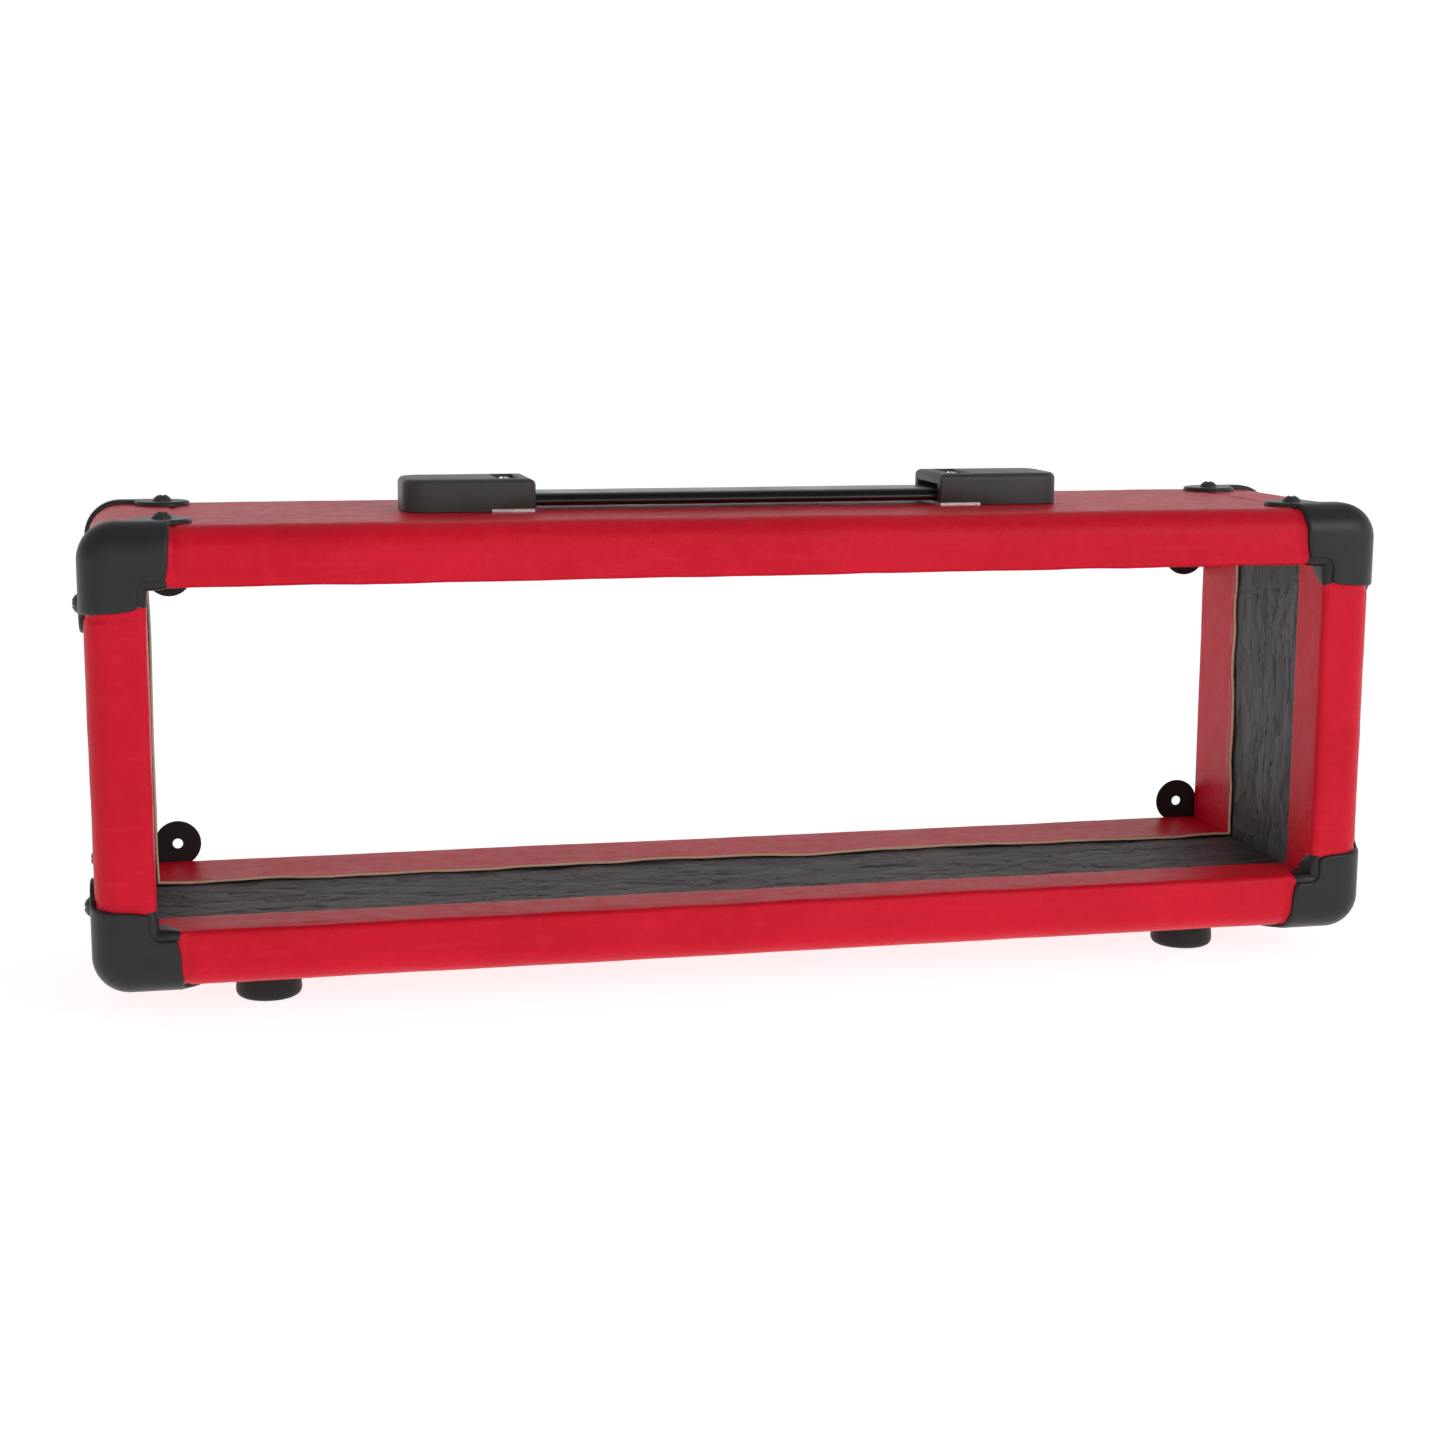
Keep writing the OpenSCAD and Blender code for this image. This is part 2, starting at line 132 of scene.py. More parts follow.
class Finish:
    """A material whose nodes are added one at a time; shader settings go on its own sockets."""

    def __init__(self, name, **settings):
        self.material = bpy.data.materials.new(name)
        self.material.use_nodes = True
        self.tree = self.material.node_tree
        self.shader = self.tree.nodes["Principled BSDF"]
        for socket, value in settings.items():
            self.shader.inputs[socket.replace("_", " ")].default_value = value
        self.place = self.tree.nodes.new("ShaderNodeTexCoord").outputs["Object"]

    def node(self, kind, inputs=None, **props):
        made = self.tree.nodes.new("ShaderNode" + kind)
        for key, value in props.items():
            setattr(made, key, value)
        for key, value in (inputs or {}).items():
            if isinstance(value, bpy.types.NodeSocket):
                self.tree.links.new(value, made.inputs[key])
            else:
                made.inputs[key].default_value = value
        return made

    def stretched(self, scale):
        """Coordinates stretched so that a pattern of scale 1 has these counts per metre."""
        return self.node("Mapping", {"Vector": self.place, "Scale": scale}).outputs["Vector"]

    def noise(self, scale, detail=3.0, rough=0.5, warp=0.0, at=None):
        return self.node("TexNoise", {"Vector": at or self.place, "Scale": scale, "Detail": detail,
                                      "Roughness": rough, "Distortion": warp}).outputs["Fac"]

    def cells(self, scale, at=None, feature="F1", out="Distance"):
        return self.node("TexVoronoi", {"Vector": at or self.place, "Scale": scale},
                         feature=feature).outputs[out]

    def ramp(self, value, low, high, to=(0.0, 1.0)):
        return self.node("MapRange", {"Value": value, "From Min": low, "From Max": high,
                                      "To Min": to[0], "To Max": to[1]}).outputs["Result"]

    def math(self, operation, a, b):
        return self.node("Math", {0: a, 1: b}, operation=operation).outputs[0]

    def mix(self, share, a, b):
        made = self.node("Mix", {0: share}, data_type="RGBA")
        for socket, value in ((made.inputs[6], a), (made.inputs[7], b)):
            if isinstance(value, bpy.types.NodeSocket):
                self.tree.links.new(value, socket)
            else:
                socket.default_value = (*value, 1)
        return made.outputs[2]

    def colour(self, value):
        self.tree.links.new(value, self.shader.inputs["Base Color"])

    def roughness(self, value):
        self.tree.links.new(value, self.shader.inputs["Roughness"])

    def relief(self, *layers):
        """Bump layers, each (height, distance in mm)."""
        normal = None
        for height, distance in layers:
            inputs = {"Height": height, "Distance": distance * MM, "Strength": 1.0}
            if normal is not None:
                inputs["Normal"] = normal
            normal = self.node("Bump", inputs).outputs["Normal"]
        self.tree.links.new(normal, self.shader.inputs["Normal"])
        return self.material


def vinyl_finish():
    f = Finish("red_vinyl", Specular_IOR_Level=0.14)
    broad = f.noise(14, 2)
    streaks = f.noise(1.0, 4, 0.6, at=f.stretched((28, 90, 260)))
    blotch = f.noise(130, 4, 0.62)
    deep = f.mix(f.ramp(broad, 0.35, 0.65), (0.55, 0.0030, 0.018), (0.615, 0.0045, 0.023))
    worn = f.mix(f.ramp(blotch, 0.52, 0.78, (0, 0.5)), deep, (0.67, 0.014, 0.035))
    fibre = f.mix(f.ramp(streaks, 0.55, 0.8, (0, 0.45)), worn, (0.70, 0.018, 0.040))
    pores = f.cells(850)
    f.colour(f.mix(f.ramp(pores, 0.0, 0.35, (0.22, 0)), fibre, (0.33, 0.002, 0.010)))
    f.roughness(f.math("ADD", f.ramp(blotch, 0.3, 0.7, (0.34, 0.44)), f.ramp(pores, 0, 0.6, (0.06, 0))))
    grain = f.math("ADD", f.ramp(pores, 0.0, 0.5), f.ramp(f.noise(2600, 2), 0.3, 0.7, (0, 0.5)))
    return f.relief((grain, 0.07), (blotch, 0.30), (streaks, 0.16))


def backing_finish():
    f = Finish("vinyl_backing", Specular_IOR_Level=0.2)
    fibre = f.noise(1.0, 5, 0.7, at=f.stretched((2400, 900, 2400)))
    weave = f.cells(1700)
    tone = f.mix(f.ramp(fibre, 0.3, 0.7), (0.55, 0.36, 0.23), (0.82, 0.64, 0.47))
    f.colour(f.mix(f.ramp(weave, 0.0, 0.5, (0.3, 0)), tone, (0.34, 0.17, 0.11)))
    f.roughness(f.ramp(fibre, 0, 1, (0.85, 0.97)))
    return f.relief((fibre, 0.25), (weave, 0.15))


def board_finish(name, along):
    """Black paint over strand board; along is the axis that the strands follow."""
    f = Finish(name, Specular_IOR_Level=0.4)

    push = f.node("VectorMath", {
        0: f.node("TexNoise", {"Vector": f.place, "Scale": 38.0, "Detail": 3.0}).outputs["Color"],
        1: (0.016, 0.016, 0.016)}, operation="MULTIPLY").outputs[0]
    bend = f.node("VectorMath", {0: f.place, 1: push}, operation="ADD").outputs[0]

    def strands(across, length):
        """Bent coordinates with these counts per metre across the strands and along them."""
        scale = tuple(length if i == along else across for i in range(3))
        return f.node("Mapping", {"Vector": bend, "Scale": scale}).outputs["Vector"]

    flakes = strands(120.0, 34.0)
    shade = f.node("SeparateColor", {"Color": f.cells(1.0, flakes, out="Color")}).outputs[0]
    edges = f.cells(1.0, flakes, "DISTANCE_TO_EDGE")
    splits = f.noise(1.0, 3, 0.6, 0.4, at=strands(230.0, 46.0))
    where = f.noise(58, 2)
    cracks = f.math("ADD", splits, f.ramp(where, 0.42, 0.60, (0.10, -0.02)))
    fine = f.noise(1.0, 4, 0.65, at=strands(1300.0, 150.0))
    paint = f.mix(shade, (0.032, 0.0315, 0.034), (0.080, 0.078, 0.081))
    paint = f.mix(f.ramp(fine, 0.45, 0.75, (0, 0.5)), paint, (0.105, 0.102, 0.104))
    paint = f.mix(f.ramp(edges, 0.0, 0.035, (0.55, 0)), paint, (0.016, 0.016, 0.018))
    f.colour(f.mix(f.ramp(cracks, 0.36, 0.41, (0.95, 0)), paint, (0.007, 0.007, 0.009)))
    f.roughness(f.ramp(fine, 0.3, 0.7, (0.45, 0.66)))
    return f.relief((f.ramp(edges, 0, 0.08), 0.22), (f.ramp(cracks, 0.35, 0.45), 0.5), (shade, 0.25),
                    (fine, 0.12))


def moulded_finish(name, dark, light, rough, grain, coarse, shine=0.4):
    """Moulded plastic or rubber: a fine eroded grain, faint cloudiness and pale scuffs."""
    f = Finish(name, Specular_IOR_Level=shine)
    cloud = f.noise(45, 4, 0.6)
    scuff = f.noise(1.0, 3, 0.7, 1.2, at=f.stretched((160, 160, 420)))
    spark = f.noise(coarse, 3, 0.6)
    tone = f.mix(f.ramp(cloud, 0.35, 0.68), dark, light)
    f.colour(f.mix(f.ramp(scuff, 0.66, 0.82, (0, 0.35)), tone, tuple(2.2 * c for c in light)))
    f.roughness(f.math("ADD", f.ramp(cloud, 0.3, 0.7, (rough - 0.04, rough + 0.05)),
                       f.ramp(scuff, 0.62, 0.8, (0, 0.12))))
    return f.relief((spark, grain), (cloud, 3 * grain))


def painted_metal_finish():
    f = Finish("black_screw", Specular_IOR_Level=0.55, Coat_Weight=0.15, Coat_Roughness=0.3)
    chips = f.noise(520, 4, 0.7)
    ring = f.noise(90, 2)
    f.colour(f.mix(f.ramp(chips, 0.66, 0.74), (0.014, 0.014, 0.015), (0.10, 0.095, 0.09)))
    f.roughness(f.ramp(ring, 0.3, 0.7, (0.30, 0.44)))
    return f.relief((chips, 0.05), (f.noise(1400, 2), 0.02))


def zinc_finish():
    f = Finish("zinc_steel", Metallic=1.0, Anisotropic=0.4)
    brush = f.noise(1.0, 4, 0.7, at=f.stretched((90, 2600, 2600)))
    spangle = f.cells(420, out="Color")
    patch = f.node("SeparateColor", {"Color": spangle}).outputs[1]
    tone = f.mix(patch, (0.62, 0.63, 0.66), (0.80, 0.80, 0.79))
    f.colour(f.mix(f.ramp(brush, 0.55, 0.8, (0, 0.5)), tone, (0.50, 0.49, 0.46)))
    f.roughness(f.ramp(brush, 0.3, 0.7, (0.22, 0.40)))
    return f.relief((brush, 0.02))


def floor_finish():
    f = Finish("floor", Specular_IOR_Level=0.1)
    f.colour(f.mix(f.noise(3.0, 2), (0.42, 0.42, 0.42), (0.44, 0.44, 0.44)))
    f.roughness(f.ramp(f.noise(8.0), 0, 1, (0.85, 0.95)))
    f.shader.inputs["Emission Color"].default_value = (1, 1, 1, 1)
    f.shader.inputs["Emission Strength"].default_value = 0.84
    return f.material


# ---- mesh building ----

class Shape:
    """A mesh under construction."""

    def __init__(self):
        self.points, self.faces, self.parts = [], [], []

    def add(self, points):
        first = len(self.points)
        self.points.extend(tuple(p) for p in points)
        return list(range(first, len(self.points)))

    def face(self, ids, part=0):
        self.faces.append(ids)
        self.parts.append(part)

    def bridge(self, a, b, closed=True):
        for i in range(len(a) if closed else len(a) - 1):
            j = (i + 1) % len(a)
            self.face([a[i], a[j], b[j], b[i]])

    def loft(self, loops, ends=True):
        rings = [self.add(loop) for loop in loops]
        for a, b in zip(rings, rings[1:]):
            self.bridge(a, b)
        if ends:
            self.face(rings[0][::-1])
            self.face(rings[-1])
        return rings

    def transformed(self, move):
        """A copy with every point passed through move."""
        other = Shape()
        other.points = [tuple(move(p)) for p in self.points]
        other.faces, other.parts = [list(f) for f in self.faces], list(self.parts)
        return other

    def join(self, other):
        first = len(self.points)
        self.points.extend(other.points)
        self.faces.extend([i + first for i in f] for f in other.faces)
        self.parts.extend(other.parts)


def mesh_object(name, shape, materials, smooth=35):
    mesh = bpy.data.meshes.new(name)
    mesh.from_pydata([[c * MM for c in p] for p in shape.points], [], shape.faces)
    mesh.polygons.foreach_set("material_index", shape.parts)
    work = bmesh.new()
    work.from_mesh(mesh)
    bmesh.ops.remove_doubles(work, verts=work.verts, dist=WELD * MM)
    bmesh.ops.dissolve_degenerate(work, edges=work.edges, dist=WELD * MM / 2)
    bmesh.ops.recalc_face_normals(work, faces=work.faces)
    work.to_mesh(mesh)
    work.free()
    for material in materials:
        mesh.materials.append(material)
    soften(mesh, smooth)
    obj = bpy.data.objects.new(name, mesh)
    bpy.context.collection.objects.link(obj)
    return obj


def soften(mesh, angle):
    mesh.polygons.foreach_set("use_smooth", [True] * len(mesh.polygons))
    mesh.set_sharp_from_angle(angle=math.radians(angle))
    mesh.update()


def piece(name, shape, materials, nodes, body="frame", smooth=40):
    obj = mesh_object(name, shape, materials, smooth)
    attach(obj, body)
    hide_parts(*nodes)
    return obj


def arc(centre, radius, start, end, count):
    return [(centre[0] + radius * math.cos(math.radians(start + (end - start) * i / count)),
             centre[1] + radius * math.sin(math.radians(start + (end - start) * i / count)))
            for i in range(count + 1)]


def circle(radius, z, count):
    return [(radius * math.cos(2 * math.pi * i / count), radius * math.sin(2 * math.pi * i / count), z)
            for i in range(count)]


def evenly(points, step):
    """The same polyline with points about step apart; both ends stay."""
    p = np.array(points, float)
    run = np.concatenate([[0], np.cumsum(np.hypot(*np.diff(p, axis=0).T))])
    at = np.linspace(0, run[-1], max(2, int(math.ceil(run[-1] / step)) + 1))
    return np.stack([np.interp(at, run, p[:, 0]), np.interp(at, run, p[:, 1])], 1)


def softened(points, soft, step):
    """An open polyline with its corners rounded over about soft, and its ends left alone."""
    fine = 0.2
    line = evenly(points, fine)
    for _ in range(2):
        sums = np.concatenate([np.zeros((1, 2)), np.cumsum(line, axis=0)])
        n = len(line)
        i = np.arange(n)
        half = np.minimum(np.minimum(i, n - 1 - i), int(soft / fine))
        line = (sums[i + half + 1] - sums[i - half]) / (2 * half + 1)[:, None]
    return evenly(line, step)


def inside(points, loops):
    """Which points lie inside the loops, by the even-odd rule."""
    hit = np.zeros(len(points), bool)
    x, y = points[:, 0], points[:, 1]
    for loop in loops:
        a = np.array(loop, float)
        for (x0, y0), (x1, y1) in zip(a, np.roll(a, -1, axis=0)):
            if y0 != y1:
                hit ^= ((y0 > y) != (y1 > y)) & (x < (x1 - x0) * (y - y0) / (y1 - y0) + x0)
    return hit


def to_line(points, line):
    """Distance of each point from a polyline."""
    p, a = np.array(points, float)[:, None], np.array(line, float)
    start, run = a[:-1][None], np.diff(a, axis=0)[None]
    share = np.clip(((p - start) * run).sum(2) / np.maximum((run ** 2).sum(2), 1e-12), 0, 1)
    return np.hypot(*np.moveaxis(p - start - share[..., None] * run, 2, 0)).min(1)


def fill(shape, loops, spacing, place, lines=()):
    """Covers the region between loops (the outline, then holes) with small triangles. lines are more
    polylines that edges follow, and place turns an array of flat points into points in space."""
    flat, edges = [], []
    for closed, path in [(True, p) for p in loops] + [(False, p) for p in lines]:
        first, count = len(flat), len(path)
        flat.extend((float(p[0]), float(p[1])) for p in path)
        edges.extend((first + i, first + (i + 1) % count) for i in range(count if closed else count - 1))
    known = np.array(flat)
    low, high = known.min(0), known.max(0)
    grid = np.stack(np.meshgrid(np.arange(low[0] + spacing / 2, high[0], spacing),
                                np.arange(low[1] + spacing / 2, high[1], spacing)), -1).reshape(-1, 2)
    grid = grid[inside(grid, loops)]
    if len(grid):
        near = np.full(len(grid), np.inf)
        for p in known:
            near = np.minimum(near, np.hypot(*(grid - p).T))
        flat.extend(map(tuple, grid[near > 0.55 * spacing]))
    verts, _, faces, *_ = delaunay_2d_cdt([Vector(p) for p in flat], edges, [], 0, 1e-5)
    verts = np.array([tuple(v) for v in verts])
    middle = np.array([verts[list(f)].mean(0) for f in faces])
    ids = shape.add(place(verts))
    for f, keep in zip(faces, inside(middle, loops)):
        if keep:
            shape.face([ids[i] for i in f])


# ---- vinyl covering ----

def wobble(p, size, seed):
    """Smooth noise from about -0.5 to 0.5, with bumps about size apart."""
    return noise.noise(Vector(p) / size + Vector((seed, 3.7 * seed, -seed)))


def vinyl_path():
    """Section through the covering, from the front strip's cut edge round the outside to the rear
    strip's, and back under it: (distance in from the outer face, distance back, normal, tag, part).
    Part 1 is the pale backing."""
    inner = WALL_T
    path = [(inner - 1.05, FRONT_TURN, (0.3, 1), "front", 0),
            (inner - 0.5, FRONT_TURN + 0.05, (0.3, 1), "front", 0),
            (inner - 0.15, FRONT_TURN - 0.1, (0.7, 0.7), "front", 0),
            (inner, FRONT_TURN - 0.5, (1, 0), "front", 0)]
    path += [(inner, y, (1, 0), "", 0) for y in np.linspace(FRONT_TURN - 2, BAY_EDGE_R + 2, 9)]

    def rounding(centre, radius, start, end, count):
        for i in range(count + 1):
            a = math.radians(start + (end - start) * i / count)
            n = (math.cos(a), math.sin(a))
            yield (centre[0] + radius * n[0], centre[1] + radius * n[1], n, "", 0)

    path += rounding((inner - BAY_EDGE_R, BAY_EDGE_R), BAY_EDGE_R, 0, -90, 7)
    path += [(t, 0, (0, -1), "", 0) for t in np.linspace(inner - BAY_EDGE_R - 1.4, EDGE_R + 1.2, 6)]
    path += rounding((EDGE_R, EDGE_R), EDGE_R, -90, -180, 12)
    path += [(0, y, (-1, 0), "", 0) for y in np.linspace(EDGE_R + 2.5, BODY_D - EDGE_R - 2.5, 30)]
    path += rounding((EDGE_R, BODY_D - EDGE_R), EDGE_R, 180, 90, 10)
    path += [(t, BODY_D, (0, 1), "", 0) for t in np.linspace(EDGE_R + 2, inner - BAY_EDGE_R - 2, 4)]
    path += rounding((inner - BAY_EDGE_R, BODY_D - BAY_EDGE_R), BAY_EDGE_R, 90, 0, 6)
    cut = BODY_D - REAR_TURN
    path += [(inner, y, (1, 0), "", 0) for y in np.linspace(BODY_D - BAY_EDGE_R - 3, cut + 3, 10)]
    path += [(inner, cut + 0.9, (1, 0), "rear", 0), (inner - 0.10, cut + 0.25, (1, 0), "rear", 0),
             (inner - 0.32, cut + 0.02, (1, 0), "rear", 1), (inner - 0.42, cut - 0.55, (1, 0), "fray", 1),
             (inner - 0.62, cut - 0.95, (1, 0), "fray", 1), (inner - 1.0, cut - 0.80, (1, 0), "fray", 1)]
    low = VINYL_T
    under = [(inner - low, cut + 5), (inner - low, BODY_D - 5), (inner - 4, BODY_D - low),
             (EDGE_R, BODY_D - low)]
    under += [p[:2] for p in rounding((EDGE_R, BODY_D - EDGE_R), EDGE_R - low, 105, 180, 4)]
    under += [p[:2] for p in rounding((EDGE_R, EDGE_R), EDGE_R - low, 180, 270, 5)]
    under += [(inner - 4, low), (inner - low, 5), (inner - low, FRONT_TURN - 4)]
    return path + [(t, back, (0, 0), "under", 0) for t, back in under]


def vinyl_stations():
    """Round the frame: (outer x, z), (bay's edge x, z), distance from the nearest corner."""
    w, h = BODY_W / 2, BODY_H / 2

    def steps(length):
        near = [CORNER_R, 17, 20.5, WALL_T, 26, 29, 31, 32.2, 33.2, 34.0, 34.8, 35.8, 37.5, 40]
        middle = list(np.linspace(43, length - 43, int((length - 86) / 3.2)))
        return near + middle + [length - s for s in near[::-1]]

    corners = [((-1, -1), (1, 0), 2 * w), ((1, -1), (0, 1), 2 * h), ((1, 1), (-1, 0), 2 * w),
               ((-1, 1), (0, -1), 2 * h)]
    stations = []
    for (sx, sz), (dx, dz), length in corners:
        start = Vector((sx * w, sz * h))
        along = Vector((dx, dz))
        inward = Vector((-dz, dx))
        for s in steps(length):
            outer = start + along * s
            inner = start + along * min(max(s, WALL_T), length - WALL_T) + inward * WALL_T
            stations.append((outer, inner, min(s, length - s)))
        end = start + along * length
        centre = end - along * CORNER_R + inward * CORNER_R
        bay = end - along * WALL_T + inward * WALL_T
        for k in range(1, 8):
            a = math.radians(90 * k / 8)
            outer = centre + (-inward * math.cos(a) + along * math.sin(a)) * CORNER_R
            stations.append((outer, bay, 0.0))
    return stations


def vinyl_shape():
    """The covering, slightly uneven all over, with wavy cut edges and a hollow beside each protector."""
    shape = Shape()
    path = vinyl_path()
    loops = []
    for outer, inner, near in vinyl_stations():
        loop = []
        for t, back, (nt, ny), tag, _ in path:
            x, z = outer + (inner - outer) * (t / WALL_T)
            spot = (x, back, z)
            lift = 0.0
            if tag != "under":
                lift = 0.22 * wobble(spot, 46, 1) + 0.10 * wobble(spot, 15, 2) + 0.05 * wobble(spot, 6, 3)
                if t < WALL_T - 1:
                    lift -= 0.55 * math.exp(-((near - GUARD_REACH - 1.4) / 1.15) ** 2)
                if t > WALL_T - 3.5 and back < 6:
                    lift += 0.34 * wobble(spot, 24, 4) - 0.1
            if tag == "front":
                back += 0.9 * wobble((x, 0, z), 60, 5) + 0.3 * wobble((x, 0, z), 8, 6)
            if tag in ("rear", "fray"):
                back += 4.5 * wobble((x, 0, z), 62, 7) + 1.8 * wobble((x, 0, z), 15, 8)
                lift = 0.4 + 1.0 * max(0, wobble((x, 0, z), 34, 9) + 0.15)
            if tag == "fray":
                back += 0.5 * wobble((x, 0, z), 4, 10)
            t = t + nt * lift
            x, z = outer + (inner - outer) * (t / WALL_T)
            loop.append((x, back + ny * lift - BODY_D / 2, z + MID_Z))
        loops.append(loop)
    rings = [shape.add(loop) for loop in loops]
    count = len(path)
    for a, b in zip(rings, rings[1:] + rings[:1]):
        for i in range(count):
            j = (i + 1) % count
            part = max(path[i][4], path[j][4]) if path[i][3] != "under" else 0
            if path[i][3] == "rear" and path[j][4] == 0:
                part = 0
            shape.face([a[i], a[j], b[j], b[i]], part)
    return shape


# ---- boards ----

def strand_relief(us, vs, seed):
    """Depth of a strand board's face over a grid, in mm below flat: overlapping flakes."""
    draw = random.Random(seed)
    u, v = np.meshgrid(us, vs, indexing="ij")
    top = np.full(u.shape, -0.55)
    area = (us[-1] - us[0]) * (vs[-1] - vs[0])
    for _ in range(int(area / 55)):
        cu, cv = draw.uniform(us[0], us[-1]), draw.uniform(vs[0], vs[-1])
        turn = math.radians(draw.gauss(0, 16) if draw.random() < 0.85 else draw.uniform(0, 180))
        half_l, half_w = draw.uniform(8, 26), draw.uniform(1.2, 4.5)
        level, tilt = draw.uniform(-0.42, 0.0), draw.uniform(-0.012, 0.012)
        du, dv = u - cu, v - cv
        a = du * math.cos(turn) + dv * math.sin(turn)
        b = -du * math.sin(turn) + dv * math.cos(turn)
        width = half_w * (1 - 0.35 * (a / half_l) ** 2)
        edge = np.maximum(np.abs(a) - half_l, (np.abs(b) - width) * 1.5)
        height = level + tilt * a - np.clip(edge + 0.6, 0, None) * 0.6
        top = np.where(edge < 0, np.maximum(top, np.minimum(height, -0.02)), top)
    return top


def board_shape(long_board, seed):
    """One board, lying with its inner face up: x along it, y across the frame's depth, z up from its
    outer face. A long board runs under the side boards, so that its ends follow the frame's corners."""
    half = BODY_W / 2 - VINYL_T if long_board else BODY_H / 2 - WALL_T + VINYL_T
    bay_half = BODY_W / 2 - WALL_T + VINYL_T if long_board else half
    r, d, t = EDGE_R - VINYL_T, BODY_D / 2 - VINYL_T, WALL_T - 2 * VINYL_T
    fine_x = np.linspace(-bay_half, bay_half, int(2 * bay_half / 1.15))
    band = (-BODY_D / 2 + FRONT_TURN - 2, BODY_D / 2 - REAR_TURN + 3)
    fine_y = np.linspace(*band, int((band[1] - band[0]) / 1.1))
    depth = strand_relief(fine_x, fine_y, seed)
    fade = np.clip(np.minimum(fine_y - fine_y[0], fine_y[-1] - fine_y) / 1.5, 0, 1)
    depth = depth * fade[None]
    stations = [(x, depth[i]) for i, x in enumerate(fine_x)]
    if long_board:
        flat = np.zeros(len(fine_y))
        corner = CORNER_R - VINYL_T
        beyond = [half - corner + corner * math.sin(math.radians(a)) for a in (0, 20, 38, 54, 68, 80, 90)]
        stations = ([(-x, flat) for x in beyond[::-1]] + [(fine_x[0] - 0.2, flat)] + stations
                    + [(fine_x[-1] + 0.2, flat)] + [(x, flat) for x in beyond])
    shape = Shape()
    loops = []
    for x, relief in stations:
        low, inset = 0.0, 0.0
        if long_board:
            corner = CORNER_R - VINYL_T
            over = max(abs(x) - (half - corner), 0)
            low = corner - math.sqrt(max(corner ** 2 - over ** 2, 0))
            over = max(abs(x) - (half - r), 0)
            inset = r - math.sqrt(max(r ** 2 - over ** 2, 0))
        e = d - inset
        loop = [(x, -e, t - 2), (x, -e + 1, t - 0.6), (x, -e + 2.2, t)]
        loop += [(x, y, t + z) for y, z in zip(fine_y, relief)]
        loop += [(x, e - 2.2, t), (x, e - 1, t - 0.6), (x, e, t - 2)]
        room = min(r, t - 2 - low - 0.5)
        turn = [(e - room + room * math.cos(math.radians(a)), low + room - room * math.sin(math.radians(a)))
                for a in (0, 25, 50, 70, 90)]
        loop += [(x, y, z) for y, z in turn] + [(x, -y, z) for y, z in turn[::-1]]
        loops.append(loop)
    shape.loft(loops)
    return shape


# ---- corner protectors ----

def wrap(points, heights, place):
    """Points at these heights over the frame's rounded corner. place gives, for each flat point, where it
    is on the sharp corner's faces: distances from the side, from the top or bottom, and from the end."""
    out = []
    for p, h in zip(points, heights):
        a, b, c = place(p)
        da, db = max(CORNER_R - a, 0.0), max(CORNER_R - b, 0.0)
        reach, length = max(da, db), math.hypot(da, db)
        if reach <= 0:
            out.append((a, b, -h))
            continue
        t = CORNER_R - reach
        dt, dc = max(EDGE_R - t, 0.0), max(EDGE_R - c, 0.0)
        size = math.hypot(dt, dc)
        low = t + dt - (EDGE_R + h) * dt / size
        back = c + dc - (EDGE_R + h) * dc / size
        push = (CORNER_R - low) / length
        out.append((a + da - da * push, b + db - db * push, back))
    return out


def guard_outline(rear):
    """Rim of the end face, from one edge of the frame to the other."""
    reach, arm = GUARD_REACH, GUARD_ARM_W
    arm_end = [(reach, 0), (reach, 2.4), (reach - 0.5, 7), (reach - 0.9, 14), (reach - 1.6, 18.5)]
    if rear:
        ear = arc(EAR, EAR_R, -82, 172, 40)
        middle = [(reach - 2.6, arm + 0.6)] + ear + [(arm + 0.6, reach - 2.6)]
    else:
        r = GUARD_FILLET
        middle = [(reach - 2.4, arm)] + arc((arm + r, arm + r), r, -90, -180, 8) + [(arm, reach - 2.4)]
    line = arm_end + middle + [(b, a) for a, b in arm_end[::-1]]
    return softened(line, 0.9, 0.75)


def leg_outline():
    """Rim of a leg: the band along the end, and the tab round its screw."""
    x, y = LEG_SCREW
    start = math.degrees(math.asin((GUARD_REACH - x) / LEG_R)) - 90
    end = 180 + math.degrees(math.asin((y - GUARD_BAND) / LEG_R))
    line = [(GUARD_REACH, 0), (GUARD_REACH, 2.4)] + arc(LEG_SCREW, LEG_R, start, end, 40)
    line += [(2.4, GUARD_BAND), (0, GUARD_BAND)]
    return softened(line, 2.4, 0.75)


def inward(line, distance):
    """The rim moved in; its ends move along the edges of the frame."""
    run = np.gradient(line, axis=0)
    normal = np.stack([-run[:, 1], run[:, 0]], 1) / np.hypot(*run.T)[:, None]
    normal[0], normal[-1] = (-1, 0), (0, -1)
    return line + normal * distance


def step_side(points):
    """How far each point lies beyond the raised arms, on the recessed ledge."""
    u, v = points[:, 0] - GUARD_ARM_W, points[:, 1] - GUARD_ARM_W
    r = GUARD_FILLET
    corner = r - np.hypot(r - u, r - v)
    return np.where((u < r) & (v < r), corner, np.minimum(u, v))


def step_line(offset):
    r, arm = GUARD_FILLET, GUARD_ARM_W
    far = GUARD_REACH - 1.5
    bend = arc((arm + r, arm + r), r - offset, -90, -180, 8)
    return [(far, arm + offset)] + bend + [(arm + offset, far)]


